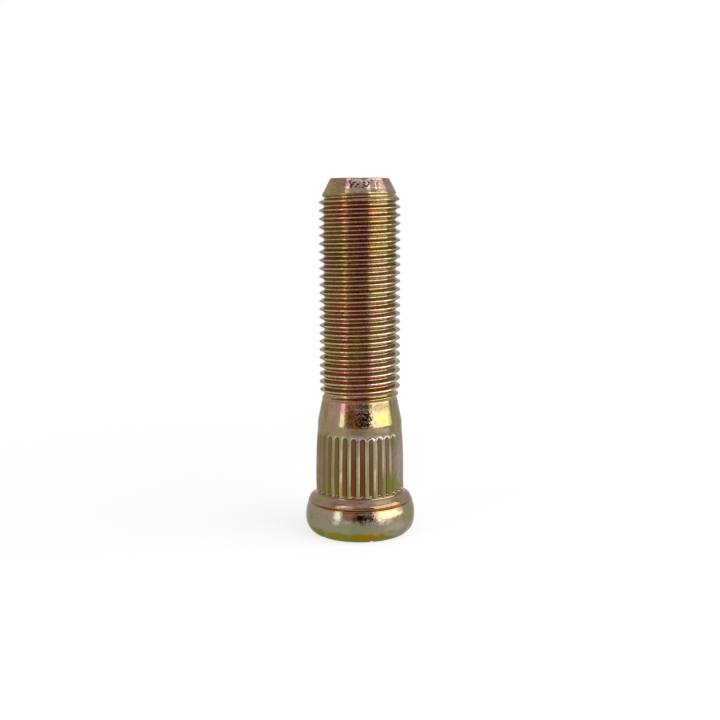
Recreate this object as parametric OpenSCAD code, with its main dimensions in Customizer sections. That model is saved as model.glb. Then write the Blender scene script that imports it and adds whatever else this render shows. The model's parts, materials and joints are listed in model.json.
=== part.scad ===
// Wheel stud: one forged and turned steel piece, standing on its head.
// Z runs along the axis, from the flat base of the head to the tip. Millimetres.

/* [Overall] */
// Length from the base of the head to the tip
overall_len = 55.8; // [50:0.1:75]

/* [Head] */
// Widest diameter of the head
head_d = 17.45; // [17.2:0.05:18.5]
// Diameter of the flat that the head stands on
base_d = 14.35; // [12:0.05:15.4]
// Height of the widest place above the base
belly_z = 2.55; // [2:0.05:3]
// Radius of the barrel curve above the widest place
barrel_r = 6.7; // [6.5:0.1:8]
// Height of the head's rounded lip, under the crease
lip_z = 5.0; // [4.8:0.02:5.05]

/* [Collar] */
// Widest diameter of the collar, over the crease
collar_d = 16.16; // [15.8:0.02:16.2]
// Height of the collar's widest place
collar_z = 5.34; // [5.28:0.02:5.5]
// Radius of the collar's rounded shoulder
collar_round = 1.05; // [0.8:0.05:1.2]
// How far the collar's cone leans from the axis
collar_lean = 48; // [44:0.5:52]
// Radius of the fillet between the collar and the shank
collar_fillet_r = 0.25; // [0.15:0.05:0.4]

/* [Splines] */
// Number of splines round the shank
spline_count = 32; // [24:1:36]
// Largest diameter over the splines
spline_d = 13.94; // [13.7:0.02:14.1]
// Height at which the grooves start, above the collar
groove_foot_z = 7.0; // [6.96:0.02:7.4]
// Height at which the grooves end in a round arch
groove_top_z = 16.2; // [14:0.05:16.4]
// Radius of the round groove between two splines
groove_r = 0.4; // [0.25:0.01:0.44]
// Angle of the first groove, from the front of the stud
groove_phase = 3.6; // [0:0.1:11.2]

/* [Shank and shoulder] */
// Diameter of the plain shank above the splines
shank_d = 13.35; // [13:0.05:13.5]
// Height at which the shoulder starts to narrow
shoulder_z = 17.85; // [17:0.05:18.5]
// Height at which the shoulder meets the neck
neck_z = 21.2; // [20.5:0.1:21.3]
// Diameter of the neck under the thread
neck_d = 11.98; // [11.6:0.02:12.2]

/* [Thread] */
// Major diameter of the thread, a half-inch fine thread
thread_d = 12.7; // [12.5:0.05:12.9]
// Distance from one crest to the next, right-hand
thread_pitch = 1.27; // [1.2:0.01:1.35]
// Height at which the thread has run out into the neck
thread_end_z = 21.5; // [21.4:0.1:22.5]
// Height of a crest at the front of the stud, near the tip
crest_z = 52.42; // [52:0.01:53.2]
// Flat faces in one turn of the thread
thread_steps = 36; // [24:4:40]
// Diameter of the flat tip
tip_d = 9.1; // [8.6:0.1:9.6]
// Angle of the tip's cone, measured from the axis
tip_angle = 27.4; // [24:0.2:32]

/* [Hidden] */
$fn = 96;

plating = "#97876a";

// Points on each kind of curve
curve_steps = 10;
short_curve_steps = 4;

// Head: a low ellipse under the widest place and a barrel curve over it, up to a rounded lip
head_r = head_d / 2;
base_r = base_d / 2;
lip_round = 0.12;
lip_angle = asin((lip_z - belly_z) / barrel_r);
lip_r = head_r - barrel_r * (1 - cos(lip_angle));

// Crease: a narrow notch between the lip and the collar
collar_r = collar_d / 2;
crease_depth = 0.1;
crease_r = collar_r - crease_depth;
crease_z = lip_z + lip_round + 0.05;
crease_top_z = crease_z + crease_depth;

// Collar: a rounded shoulder over the crease, then a cone and a fillet under the splines
spline_r = spline_d / 2;
shoulder_end_r = collar_r - collar_round * (1 - cos(collar_lean));
shoulder_end_z = collar_z + collar_round * sin(collar_lean);
fillet_end_r = spline_r + collar_fillet_r * (1 - cos(collar_lean));
fillet_end_z = shoulder_end_z + (shoulder_end_r - fillet_end_r) / tan(collar_lean);
collar_top_z = fillet_end_z + collar_fillet_r * sin(collar_lean);

// Splines: their tops bow in towards the shoulder by this much, then run out
crown_start_z = 9.0;
crown_end_z = 15.3;
crown_drop = 0.17;
runout_z = 16.8;

// The grooves' round cutter runs this far outside the splines' tops
groove_cut_lift = 0.05;
shank_r = shank_d / 2;

// Thread: 60 degree flanks, a flat crest and a narrow flat root, by the inch standard
neck_r = neck_d / 2;
thread_r = thread_d / 2;
flank_angle = 30;
thread_depth = 0.6134 * thread_pitch;
root_r = thread_r - thread_depth;
peak_r = thread_r + thread_pitch / 16 / tan(flank_angle);
flank_h = (peak_r - root_r) * tan(flank_angle);

// The crest and the root fade into the neck over these heights, and end just under its skin
crest_fade_h = 1.68;
root_fade_h = 1.0;
buried_r = neck_r - 0.02;

// The helix starts over the tip and ends inside the neck
helix_top_z = crest_z + thread_pitch * (ceil((overall_len - crest_z) / thread_pitch) + 1);
helix_turns = ceil((helix_top_z - neck_z) / thread_pitch) + 1;
neck_cap_r = 5.2;
neck_cap_z = thread_end_z + neck_r - neck_cap_r;

// Tip
tip_r = tip_d / 2;
rim_round = 0.12;
cone_z = overall_len - (thread_r - tip_r) / tan(tip_angle);

// Points of an ellipse's arc, as [radius, height] pairs
function arc(centre_r, centre_z, half_w, half_h, from, to, steps) =
    [for (i = [0:steps])
        let (a = from + (to - from) * i / steps)
        [centre_r + half_w * cos(a), centre_z + half_h * sin(a)]];

// The same points without the first, to go on from another arc's end
function tail(points) = [for (i = [1:len(points) - 1]) points[i]];

head_outline = concat(
    [[0, 0]],
    arc(base_r, belly_z, head_r - base_r, belly_z, -90, 0, curve_steps),
    tail(arc(head_r - barrel_r, belly_z, barrel_r, barrel_r, 0, lip_angle, curve_steps)),
    tail(arc(lip_r - lip_round, lip_z, lip_round, lip_round, 0, 90, short_curve_steps)),
    [[crease_r, crease_z], [collar_r, crease_top_z]]);

collar_outline = concat(
    arc(collar_r - collar_round, collar_z, collar_round, collar_round, 0, collar_lean, curve_steps),
    arc(spline_r + collar_fillet_r, collar_top_z, collar_fillet_r, collar_fillet_r,
        180 + collar_lean, 180, short_curve_steps));

// The crowned tops of the splines, as a parabola that starts level
crown_outline =
    [for (i = [0:short_curve_steps])
        let (t = i / short_curve_steps)
        [spline_r - crown_drop * t * t, crown_start_z + (crown_end_z - crown_start_z) * t]];

// Run-out of the splines, shoulder and neck, with a cone that caps the neck inside the thread
shoulder_outline = [
    [shank_r, runout_z],
    [shank_r, shoulder_z],
    [neck_r, neck_z],
    [neck_r, thread_end_z],
    [neck_cap_r, neck_cap_z],
    [0, neck_cap_z]];

// The outside that the thread is cut back to: its major cylinder and the tip's cone
tip_outline = [
    [0, neck_z],
    [thread_r, neck_z],
    [thread_r, cone_z],
    [tip_r + rim_round * sin(tip_angle), overall_len - rim_round],
    [tip_r - rim_round, overall_len],
    [0, overall_len]];

// Outline of the cutter for one groove: a rod with a round top end
cutter_outline = concat(
    [[0, 0], [groove_r, 0]],
    arc(0, groove_top_z - groove_r - groove_foot_z, groove_r, groove_r, 0, 90, short_curve_steps));

// Head, shank and neck before the splines are rolled, turned from one outline
module blank() {
    rotate_extrude()
        polygon(concat(head_outline, collar_outline, crown_outline, shoulder_outline));
}

// One round-bottomed groove between two splines, with an arch at its top
module groove() {
    translate([0, -spline_r - groove_cut_lift, groove_foot_z])
        rotate_extrude($fn = 24)
            polygon(cutter_outline);
}

// How far the thread has grown out of the neck at a height, from 0 to 1
function grown(z, fade_h) = min(1, max(0, (z - thread_end_z) / fade_h));

// Radius of the crest's sharp peak and of the root, at a height
function peak_at(z) = buried_r + (peak_r - buried_r) * grown(z, crest_fade_h);
function root_at(z) = buried_r + (root_r - buried_r) * grown(z, root_fade_h);

// Step s of a line that runs down the helix from the front, drop below the crest
function helix_z(s, drop) = helix_top_z - thread_pitch * s / thread_steps - drop;
function helix_point(s, r, z) =
    let (a = -90 - 360 * s / thread_steps)
    [r * cos(a), r * sin(a), z];

// The two triangles between step s of one line and of the line under it
function strip(upper, lower, s) =
    [[upper + s, lower + s, upper + s + 1], [upper + s + 1, lower + s, lower + s + 1]];

// A rod with three lines down its helix, joined by the flanks and the root's flat
module thread_rod() {
    last = helix_turns * thread_steps;
    crest = [for (s = [0:last])
        let (z = helix_z(s, 0))
        helix_point(s, peak_at(z), z)];
    root_high = [for (s = [0:last])
        let (z = helix_z(s, flank_h))
        helix_point(s, root_at(z), z)];
    root_low = [for (s = [0:last])
        let (z = helix_z(s, thread_pitch - flank_h))
        helix_point(s, root_at(z), z)];
    end_points = [[0, 0, helix_top_z], [0, 0, helix_z(last, thread_pitch)]];

    // Where each line's points start in the joined list, and the two centres
    high = last + 1;
    low = 2 * high;
    top = 3 * high;
    bottom = top + 1;

    lower_flank = [for (s = [0:last - 1]) each strip(0, high, s)];
    root_flat = [for (s = [0:last - 1]) each strip(high, low, s)];
    upper_flank = [for (s = [0:last - 1 - thread_steps]) each strip(low, thread_steps, s)];
    top_fan = concat(
        [for (s = [0:thread_steps - 1]) [top, s, s + 1]],
        [[top, high, 0], [top, low, high], [top, thread_steps, low]]);
    bottom_fan = concat(
        [for (s = [last - thread_steps:last - 1]) [bottom, low + s + 1, low + s]],
        [[bottom, low + last - thread_steps, last]],
        [[bottom, last, high + last], [bottom, high + last, low + last]]);
    polyhedron(
        concat(crest, root_high, root_low, end_points),
        concat(lower_flank, root_flat, upper_flank, top_fan, bottom_fan),
        convexity = 10);
}

// The splined shank and the head: the blank with its grooves rolled in
module shank_and_head() {
    difference() {
        blank();
        for (i = [0:spline_count - 1])
            rotate([0, 0, groove_phase + i * 360 / spline_count])
                groove();
    }
}

// The thread, turned down to its crests' flats and the tip's cone
module threaded_shank() {
    intersection() {
        thread_rod();
        rotate_extrude()
            polygon(tip_outline);
    }
}

module wheel_stud() {
    color(plating) {
        shank_and_head();
        threaded_shank();
    }
}

wheel_stud();
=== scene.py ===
"""Looks of the wheel stud: one finely meshed plated steel stud, its studio and its camera."""

import json
import math

import bpy
import numpy as np
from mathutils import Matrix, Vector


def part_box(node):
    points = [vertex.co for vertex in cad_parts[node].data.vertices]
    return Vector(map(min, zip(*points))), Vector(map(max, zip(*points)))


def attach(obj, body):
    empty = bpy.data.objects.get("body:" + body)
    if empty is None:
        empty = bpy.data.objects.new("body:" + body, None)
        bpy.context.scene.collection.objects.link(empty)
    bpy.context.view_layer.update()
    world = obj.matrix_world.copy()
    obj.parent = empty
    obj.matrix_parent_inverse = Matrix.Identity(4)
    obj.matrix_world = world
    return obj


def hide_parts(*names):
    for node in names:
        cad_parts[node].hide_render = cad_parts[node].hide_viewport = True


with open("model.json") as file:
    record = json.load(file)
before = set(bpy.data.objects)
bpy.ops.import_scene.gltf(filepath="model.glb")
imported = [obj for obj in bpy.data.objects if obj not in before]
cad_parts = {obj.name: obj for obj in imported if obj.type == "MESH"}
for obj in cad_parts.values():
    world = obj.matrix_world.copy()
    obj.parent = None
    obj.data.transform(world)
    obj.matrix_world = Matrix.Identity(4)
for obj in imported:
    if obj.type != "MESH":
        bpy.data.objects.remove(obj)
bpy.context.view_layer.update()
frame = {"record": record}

MM = 0.001
TAU = 2 * math.pi
DEGREE = math.radians(1)

# The angle round the stud's axis that faces the camera
FRONT = -math.pi / 2

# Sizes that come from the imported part, in millimetres
high_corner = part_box("wheel_stud")[1]
mount_dims = {mount["name"]: mount["dims"] for mount in frame["record"]["mounts"]}
OVERALL_LEN = high_corner.z / MM
HEAD_R = high_corner.x / MM
THREAD_R = mount_dims["lug_thread"]["r_mm"]
SPLINE_R = mount_dims["hub_splines"]["r_mm"]

# Head: a low ellipse under the widest place, a barrel curve over it and a rounded lip
LOW_CURVE_W = 1.55
BASE_R = HEAD_R - LOW_CURVE_W
BELLY_Z = 2.55
BARREL_R = 6.7
LIP_Z = 5.0
LIP_ROUND = 0.12
LIP_ANGLE = math.asin((LIP_Z - BELLY_Z) / BARREL_R)
LIP_R = HEAD_R - BARREL_R * (1 - math.cos(LIP_ANGLE))

# The head sits a little to the right of the shank, and its lip is a little higher there
HEAD_SHIFT = 0.06
HEAD_TILT = 0.011

# Crease: a narrow notch between the lip and the collar
COLLAR_R = 8.08
CREASE_DEPTH = 0.14
CREASE_LIFT = 0.06
CREASE_R = COLLAR_R - CREASE_DEPTH
CREASE_Z = LIP_Z + LIP_ROUND + CREASE_LIFT

# Collar: a rounded shoulder over the crease, then a cone and a fillet under the splines
COLLAR_Z = 5.32
COLLAR_ROUND = 0.9
COLLAR_LEAN = math.radians(54)
FILLET_R = 0.25
SHOULDER_END_R = COLLAR_R - COLLAR_ROUND * (1 - math.cos(COLLAR_LEAN))
SHOULDER_END_Z = COLLAR_Z + COLLAR_ROUND * math.sin(COLLAR_LEAN)
FILLET_END_R = SPLINE_R + FILLET_R * (1 - math.cos(COLLAR_LEAN))
FILLET_END_Z = SHOULDER_END_Z + (SHOULDER_END_R - FILLET_END_R) / math.tan(COLLAR_LEAN)
COLLAR_TOP_Z = FILLET_END_Z + FILLET_R * math.sin(COLLAR_LEAN)

# The collar's cone lies this much lower at its top, everywhere but at the front
COLLAR_SAG = 0.28

# Splines: round grooves between flat tops that bow in towards the shoulder
SPLINE_COUNT = 32
GROOVE_ANGLE = TAU / SPLINE_COUNT
GROOVE_PHASE = 3.6 * DEGREE
GROOVE_R = 0.42
GROOVE_LIFT = 0.05
GROOVE_WEAR = 0.8
GROOVE_FOOT_Z = 6.83
GROOVE_TOP_Z = 16.2
CROWN_START_Z = 9.0
CROWN_END_Z = 15.3
CROWN_DROP = 0.17
RUNOUT_Z = 16.8
RUNOUT_REACH = 0.8

# By what share the grooves lie farther apart at the front, and closer together at the back
GROOVE_SPREAD = 0.05

# Shank, shoulder and neck
SHANK_R = 6.675
SHOULDER_Z = 17.85
NECK_Z = 21.65
NECK_R = 5.90

# Thread: half-inch fine, right-hand, rolled, with a rounded crest and root
PITCH = 1.27
CREST_Z = 52.42
THREAD_END_Z = 21.5
FLANK_ANGLE = math.radians(30)
ROOT_R = THREAD_R - 0.6134 * PITCH
PEAK_R = THREAD_R + PITCH / 16 / math.tan(FLANK_ANGLE)
CREST_FADE_H = 1.68
ROOT_FADE_H = 1.0

# Tip: a cone with a slightly worn rim round a flat end
TIP_R = 4.55
TIP_ANGLE = math.radians(27.4)
RIM_ROUND = 0.14
CONE_Z = OVERALL_LEN - (THREAD_R - TIP_R) / math.tan(TIP_ANGLE)

# How widely the corners between two surfaces are rounded
GROOVE_EDGE_ROUND = 0.06
SHOULDER_ROUND = 0.08
NECK_ROUND = 0.05
CREST_ROUND = 0.045
ROOT_ROUND = 0.06
CONE_EDGE_ROUND = 0.03

# Heights of the uneven places: forged side, lip, swollen right side, burrs, worn thread and rim
FORGED_H = 0.03
ROUGH_LIP_H = 0.03
SWOLLEN_H = 0.07
BURR_H = 0.02
WORN_H = 0.012
RIM_WEAR_H = 0.02

# Share of the crease's depth that is closed at the sides
CREASE_CLOSED = 0.8

# Where the level rings give way to the rows that climb with the thread
CLIMB_START_Z = 20.75
CLIMB_END_Z = 54.05

# Columns round the head and splines, and half as many above them
COLUMNS_A_SPLINE = 12
FINE_COLUMNS = SPLINE_COUNT * COLUMNS_A_SPLINE

# Radii of the rings on the base flat and on the flat end of the tip
BASE_RINGS = (2.4, 5.2)
END_RINGS = (3.9, 3.2, 2.2, 1.1)

# Share of dark flecks on the splined band and on the thread, and of grain where there are no flecks
BAND_FLECK = 0.1
THREAD_FLECK = 0.3
PLAIN_GRAIN = 0.25

# Degrees right of the front between which the photograph shows nothing, and the patches' share there
UNSEEN_START = 72
UNSEEN_END = 288
UNSEEN_SHARE = 0.7

# Tints of the plating as they are seen, 0 to 255
TAN = (146, 122, 96)
GREY = (136, 133, 106)
PALE = (160, 150, 130)
MAUVE = (156, 126, 118)
ROSE = (190, 158, 148)
GREEN = (112, 118, 62)
LIME = (138, 140, 82)
OLIVE = (120, 112, 30)
GOLD = (132, 108, 14)
ORANGE = (144, 102, 58)
BROWN = (128, 88, 52)
RED_BROWN = (128, 62, 34)
# A painted dark reflection, for the dark spot on the head and the dark specks
DARK_REFLECTION = (52, 32, 24)

# Tints of the collar, and of the painted shade on the fillet at its top
COLLAR = (140, 114, 95)
COLLAR_TOP_SHADE = (116, 96, 76)

# How dark the grooves, as a painted shade of the recesses, and the ridges are beside the plain tints,
# and how olive the ridges' lower ends are
GROOVE_SHADE = 0.84
RIDGE_SHADE = 0.93
RIDGE_FOOT_OLIVE = 0.4

# Tints of the band's left side, of the painted shade in its foot, and of the painted highlights on
# its edges, burrs and ridge ends
BAND_LEFT = (122, 108, 72)
FOOT_SHADE = (100, 82, 64)
EDGE_HIGHLIGHT = (206, 194, 176)
BURR_HIGHLIGHT = (252, 232, 218)
RIDGE_END_HIGHLIGHT = (236, 212, 190)

# Thread tints: crests, with a painted highlight low down and painted shade at the sides, then flanks
# and roots, with painted shade in the low roots
CREST = (168, 145, 126)
PINK_CREST = (172, 140, 130)
FRONT_CREST = (146, 108, 98)
SIDE_CREST_SHADE = (108, 104, 112)
LOW_CREST_HIGHLIGHT = (204, 190, 176)
GOLDEN_FLANK = (156, 134, 52)
REDDISH_FLANK = (160, 96, 52)
ROOT = (164, 140, 108)
LOW_ROOT_SHADE = (124, 94, 62)

# Tints of the tip's cone, of the edge where it cuts the thread, and of its rim
LEFT_CONE = (134, 106, 80)
RIGHT_CONE = (140, 116, 104)
LEFT_EDGE = (144, 142, 116)
RIGHT_EDGE = (110, 106, 86)
RIM = (124, 118, 112)
FRONT_RIM = (168, 156, 148)

# Plating: scales of its film, sheen, flecks and grain, the film's two casts, and the grain's height
FILM_SCALE = 280
SHEEN_SCALE = 900
FLECK_SCALE = 2700
GRAIN_SCALE = 3000
GREENISH_CAST = (0.95, 1.03, 0.88, 1.0)
PINKISH_CAST = (1.05, 0.97, 1.08, 1.0)
GRAZING_TINT = (0.72, 0.70, 0.68, 1.0)
GRAIN_H = 0.00003

# Studio: tints of its surroundings, the floor's width, and the share of white that covers its shadow
WHITE = (255, 255, 255)
ROOM_GREY = (215, 215, 215)
FLOOR_GREY = (243, 243, 243)
FLOOR_W = 8.0
SHADOW_START_R = 0.03
SHADOW_END_R = 0.12
WHITE_OVER_SHADOW = 0.75

# Softboxes: name, first and last azimuth, first and last elevation, all in degrees, and level
SOFTBOX_DISTANCE = 0.45
SOFTBOXES = (
    ("right_softbox", 33, 99, -1, 46, 3.9),
    ("left_softbox", -57, -44, -1, 52, 2.7),
)

# Cards: name, first and last azimuth in degrees, and the light that the metal sees there
CARD_DISTANCE = 0.15
CARD_LOW = 0.01
CARD_HIGH = 0.06
CARDS = (
    ("brown_card", -38, -9, (0.56, 0.31, 0.18, 1.0)),
    ("dark_card", -9, 28, (0.12, 0.05, 0.04, 1.0)),
)

# Camera: frame and lens in millimetres, its place, and how far it is tipped down in degrees
SENSOR_W = 36
LENS = 52.95
CAMERA_PLACE = (0.04 * MM, -165.5 * MM, 51.83 * MM)
CAMERA_TIP = 8.364


class Skin:
    """Points, tints and faces of one closed mesh, gathered section by section, in millimetres."""

    def __init__(self):
        self.points = []
        self.tints = []
        self.flecks = []
        self.faces = []
        self.count = 0

    def add(self, radius, angle, height, tint, fleck=0.0):
        """Adds points in polar form and returns their numbers in the same shape."""
        radius, angle, height, fleck = np.broadcast_arrays(radius, angle, height, fleck)
        xyz = np.stack((radius * np.cos(angle), radius * np.sin(angle), height), axis=-1)
        numbers = self.count + np.arange(radius.size).reshape(radius.shape)
        self.points.append(xyz.reshape(-1, 3))
        self.tints.append(np.broadcast_to(tint, (*radius.shape, 3)).reshape(-1, 3))
        self.flecks.append(fleck.ravel())
        self.count += radius.size
        return numbers

    def face(self, *corners):
        self.faces.append([int(corner) for corner in corners])

    def quads(self, a, b, c, d):
        self.faces.extend(np.stack((a, b, c, d), axis=-1).reshape(-1, 4).tolist())

    def triangles(self, a, b, c):
        a, b, c = np.broadcast_arrays(a, b, c)
        self.faces.extend(np.stack((a, b, c), axis=-1).reshape(-1, 3).tolist())

    def rings(self, rows):
        """Joins level rings, given from the bottom up as rows of point numbers."""
        after = np.roll(rows, -1, axis=1)
        self.quads(rows[:-1], after[:-1], after[1:], rows[1:])

    def halve(self, fine, coarse):
        """Joins a ring to one above it that has every second column."""
        after = np.roll(coarse, -1)
        self.triangles(fine[0::2], fine[1::2], coarse)
        self.triangles(fine[1::2], after, coarse)
        self.triangles(fine[1::2], np.roll(fine, -1)[1::2], after)

    def to_object(self, name):
        points = head_askew(np.concatenate(self.points))
        mesh = bpy.data.meshes.new(name)
        mesh.from_pydata((points * MM).tolist(), [], self.faces)
        tint = mesh.attributes.new("tint", "FLOAT_COLOR", "POINT")
        seen = np.concatenate(self.tints)
        rgba = np.column_stack((as_light(seen), np.ones(len(seen))))
        tint.data.foreach_set("color", rgba.astype(np.float32).ravel())
        fleck = mesh.attributes.new("fleck", "FLOAT", "POINT")
        fleck.data.foreach_set("value", np.concatenate(self.flecks).astype(np.float32))
        mesh.shade_smooth()
        mesh.validate()
        piece = bpy.data.objects.new(name, mesh)
        bpy.context.scene.collection.objects.link(piece)
        return piece


def as_light(seen):
    """Colours as they are seen, 0 to 255, as the linear light that shaders take."""
    seen = np.clip(np.asarray(seen) / 255, 0, 1)
    return np.where(seen <= 0.04045, seen / 12.92, ((seen + 0.055) / 1.055) ** 2.4)


def colour(tint):
    """A tint as the colour that a shader's socket takes."""
    return (*as_light(tint).tolist(), 1.0)


def smooth_step(low, high, value):
    t = np.clip((value - low) / (high - low), 0, 1)
    return t * t * (3 - 2 * t)


def bell(value, middle, width):
    return np.exp(-((value - middle) / width) ** 2)


def soft_min(a, b, width):
    """The smaller of two values, with the corner between them rounded."""
    h = np.clip(0.5 + 0.5 * (b - a) / width, 0, 1)
    return b + (a - b) * h - width * h * (1 - h)


def soft_max(a, b, width):
    return -soft_min(-a, -b, width)


def arc(centre_r, centre_z, half_w, half_h, start, end, steps):
    """Points of an ellipse's arc, as radius and height pairs."""
    turn = np.linspace(start, end, steps + 1)
    return list(zip(centre_r + half_w * np.cos(turn), centre_z + half_h * np.sin(turn)))


def ripple(angle, height, seed, waves, lowest, highest, reach):
    """Smooth unevenness round the stud, from -1 to 1: a sum of seeded waves.

    Each wave has from lowest to under highest crests, and leans by up to one turn in reach.
    """
    rng = np.random.default_rng(seed)
    total = 0
    for _ in range(waves):
        turns = rng.integers(lowest, highest)
        climb = rng.uniform(-1, 1) * TAU / reach
        total = total + np.sin(turns * angle + climb * height + rng.uniform(0, TAU))
    return total / waves


def angle_gap(a, b):
    return (a - b + math.pi) % TAU - math.pi


def right_of_front(angle):
    """Degrees right of the front, from -180 to 180."""
    return angle_gap(angle, FRONT) / DEGREE


def beside(radius, angle, degrees):
    """Millimetres along the surface from the place so many degrees right of the front."""
    return radius * angle_gap(angle, FRONT + degrees * DEGREE)


def dents(radius, angle, height, marks):
    """Depth of the small dents at each point.

    A mark: degrees right of the front, height, size, depth.
    """
    depth = 0
    for degrees, mark_z, size, deep in marks:
        distance = np.hypot(beside(radius, angle, degrees), height - mark_z)
        depth = depth + deep * bell(distance, 0, size)
    return depth


def paint(tint, share, other):
    """Lays another tint over one, by a share from 0 to 1 at each point."""
    tint = np.asarray(tint)
    return tint + (np.asarray(other) - tint) * np.asarray(share)[..., None]


def lay_patches(tint, radius, angle, height, patches):
    """Lays ragged oval patches, the later ones over the earlier ones.

    A patch: tint, degrees right of the front, height, half width, half height, share.
    """
    ragged = 1 + 0.5 * ripple(angle, height, 5, 12, 10, 60, 1.5)
    for other, degrees, patch_z, wide, tall, share in patches:
        distance = np.hypot(beside(radius, angle, degrees) / wide, (height - patch_z) / tall)
        tint = paint(tint, share * np.exp(-(distance * ragged) ** 4), other)
    return tint


def unseen_patches(seed, count, tints, lowest, highest, size):
    """Seeded patches for the sides and back, which the photograph doesn't show."""
    rng = np.random.default_rng(seed)
    patches = []
    for _ in range(count):
        wide = rng.uniform(0.7, 1.8) * size
        tall = rng.uniform(0.4, 0.9) * size
        tint = tints[rng.integers(len(tints))]
        degrees = rng.uniform(UNSEEN_START, UNSEEN_END)
        patches.append((tint, degrees, rng.uniform(lowest, highest), wide, tall, UNSEEN_SHARE))
    return patches


# Dents in the head, and nicks in the edge of its base
HEAD_MARKS = (
    (66, 1.0, 1.0, 0.10),
    (-45.5, 0.45, 0.25, 0.32),
    (3, 2.2, 0.7, 0.04),
    (150, 3.1, 0.5, 0.08),
    (-130, 0.8, 0.3, 0.09),
    (100, 4.9, 0.3, 0.05),
)

BASE_NICKS = (
    (13.5, 0.0, 0.22, 0.26),
    (-48, 0.2, 0.22, 0.2),
    (160, 0.0, 0.25, 0.2),
)

# Patches of tint on the head and on the collar; some are painted highlights, painted shade and
# painted reflections
HEAD_PATCHES = [
    (GREEN, -62, 3.4, 0.5, 0.35, 0.8),
    (MAUVE, -36, 4.4, 1.2, 0.5, 0.7),
    ((140, 128, 120), -25, 4.1, 0.9, 1.1, 0.9),
    (MAUVE, -14, 3.9, 0.9, 0.7, 0.5),
    ((172, 176, 178), -13, 4.1, 1.5, 0.8, 0.6),
    # Painted reflection of the dark card: a dark spot just right of the front, red-brown at its left
    (RED_BROWN, -6, 4.0, 0.4, 0.5, 0.8),
    (DARK_REFLECTION, 0, 4.25, 0.5, 0.65, 0.85),
    ((190, 160, 136), -2, 4.88, 1.1, 0.16, 0.8),
    (PALE, 40, 2.4, 2.2, 0.8, 0.9),
    # Painted highlights that carry the lamps' highlights lower, at the right and the left
    ((216, 198, 172), 27, 3.4, 1.5, 0.34, 0.8),
    ((204, 192, 170), -25.5, 3.35, 0.6, 0.4, 0.8),
    ((136, 114, 104), 16, 4.3, 0.9, 0.8, 0.9),
    ((166, 138, 122), 30, 4.3, 0.9, 0.9, 0.9),
    ((158, 138, 98), 45, 4.3, 1.0, 0.9, 0.9),
    # Painted shade that trims the right lamp's highlight at its upper right end and its left edge
    ((120, 100, 80), 47, 4.7, 0.8, 0.36, 0.85),
    ((96, 84, 68), 46, 4.85, 0.7, 0.3, 0.8),
    ((118, 92, 84), 17, 4.65, 0.36, 0.5, 0.9),
    ((84, 70, 44), 3.5, 3.25, 0.5, 0.34, 0.8),
    ((118, 120, 88), 0, 2.6, 2.4, 0.9, 0.6),
    (GREEN, -48, 1.35, 1.0, 0.45, 0.8),
    (GREY, -38, 1.1, 0.35, 0.7, 0.7),
    ((122, 118, 36), -25, 1.0, 1.5, 0.45, 0.8),
    ((118, 118, 92), -12, 1.3, 0.4, 0.7, 0.8),
    ((128, 106, 12), 3, 1.1, 1.9, 0.55, 0.95),
    ((146, 96, 24), 15, 0.95, 0.6, 0.5, 0.95),
    (OLIVE, 23, 1.3, 0.5, 0.45, 0.8),
    (OLIVE, 34, 1.7, 0.8, 0.2, 0.5),
] + unseen_patches(61, 14, (MAUVE, GREEN, PALE, LIME, TAN), 1.6, 5.0, 1.1)

COLLAR_PATCHES = [
    ((134, 122, 74), -56, 6.3, 1.8, 0.9, 0.8),
    (BROWN, -8, 6.5, 1.4, 0.5, 0.4),
    # Painted shade that dims the lamps' highlights on the collar's rounded shoulder, at the left and
    # the right
    ((110, 90, 78), -26, 5.8, 1.5, 0.45, 0.8),
    ((108, 90, 70), 30, 5.66, 2.4, 0.3, 0.9),
    # Painted highlight on the collar's shoulder, right of the front
    ((204, 180, 150), 28, 6.2, 1.9, 0.26, 0.85),
    # Painted shade over the right lamp's highlight at the collar's right end
    ((104, 88, 66), 48, 5.6, 0.6, 0.4, 0.8),
    # Painted highlight where the collar reflects the brown card, left of the front
    ((206, 188, 190), -14, 5.6, 0.9, 0.3, 0.7),
    # Painted shade on the fillet at the collar's top, left of the front
    ((112, 94, 76), -30, 6.75, 2.0, 0.2, 0.7),
    ((150, 132, 106), 30, 6.6, 3.0, 0.3, 0.8),
    ((136, 124, 84), 60, 6.1, 1.4, 0.9, 0.8),
] + unseen_patches(62, 8, (OLIVE, ROSE, BROWN), 5.5, 6.9, 1.2)

# Patches on the plain shank, the shoulder and the neck; some are painted shade and a painted
# reflection
SHANK_PATCHES = [
    (GOLD, -56, 19.5, 0.5, 1.8, 0.6),
    (MAUVE, -38, 20.0, 1.6, 1.8, 0.9),
    ((136, 98, 92), -24, 20.8, 0.7, 0.9, 0.9),
    ((140, 122, 104), -24, 19.2, 0.7, 0.9, 0.7),
    # Painted reflection of the floor where the right lamp lights it
    ((186, 168, 130), 36, 17.3, 1.6, 0.4, 0.8),
    (BROWN, -12, 19.3, 0.9, 1.2, 0.7),
    ((132, 132, 68), 38, 19.0, 2.1, 1.0, 0.9),
    # Painted shade at the right end of the right lamp's highlight on the shoulder
    ((112, 110, 66), 46, 18.7, 0.5, 0.9, 0.8),
    # Painted shade that dims the top of that highlight
    ((112, 96, 72), 32, 20.9, 2.6, 0.7, 0.9),
    (GREEN, 49, 17.2, 0.7, 0.9, 0.7),
    # More painted shade at the right end of that highlight
    ((112, 108, 64), 49, 19.6, 0.6, 1.7, 0.9),
    ((112, 92, 64), -3, 17.2, 1.4, 0.6, 0.8),
    (MAUVE, -24, 17.1, 1.0, 0.5, 0.6),
] + unseen_patches(63, 12, (MAUVE, LIME, GREEN, TAN, BROWN), 16.6, 20.8, 1.2)
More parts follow.
